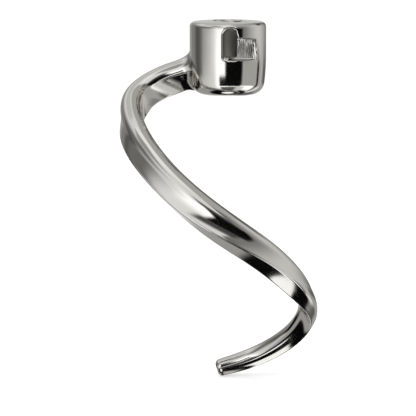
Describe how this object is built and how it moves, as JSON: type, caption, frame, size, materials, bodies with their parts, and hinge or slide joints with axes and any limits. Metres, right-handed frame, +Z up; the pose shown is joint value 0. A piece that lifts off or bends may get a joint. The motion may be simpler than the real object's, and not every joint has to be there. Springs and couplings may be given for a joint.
{
  "type": "stand mixer dough hook",
  "caption": "Spiral dough hook in one piece: a round hub with a blind bore and pin slot, and an arm that leaves its side, bends down and winds inwards to a rounded tip.",
  "frame": {"origin": "middle of the bore's mouth, on top of the hub", "axes": "+Z up the mixer's shaft, out of the bore's mouth; the slot for the pin faces -Y; the arm leaves the hub towards -X"},
  "size_m": [0.0912, 0.0846, 0.1727],
  "materials": {
    "polished_steel": "polished stainless steel"
  },
  "bodies": {
    "root": {"dough_hook": "polished_steel"}
  },
  "joints": []
}
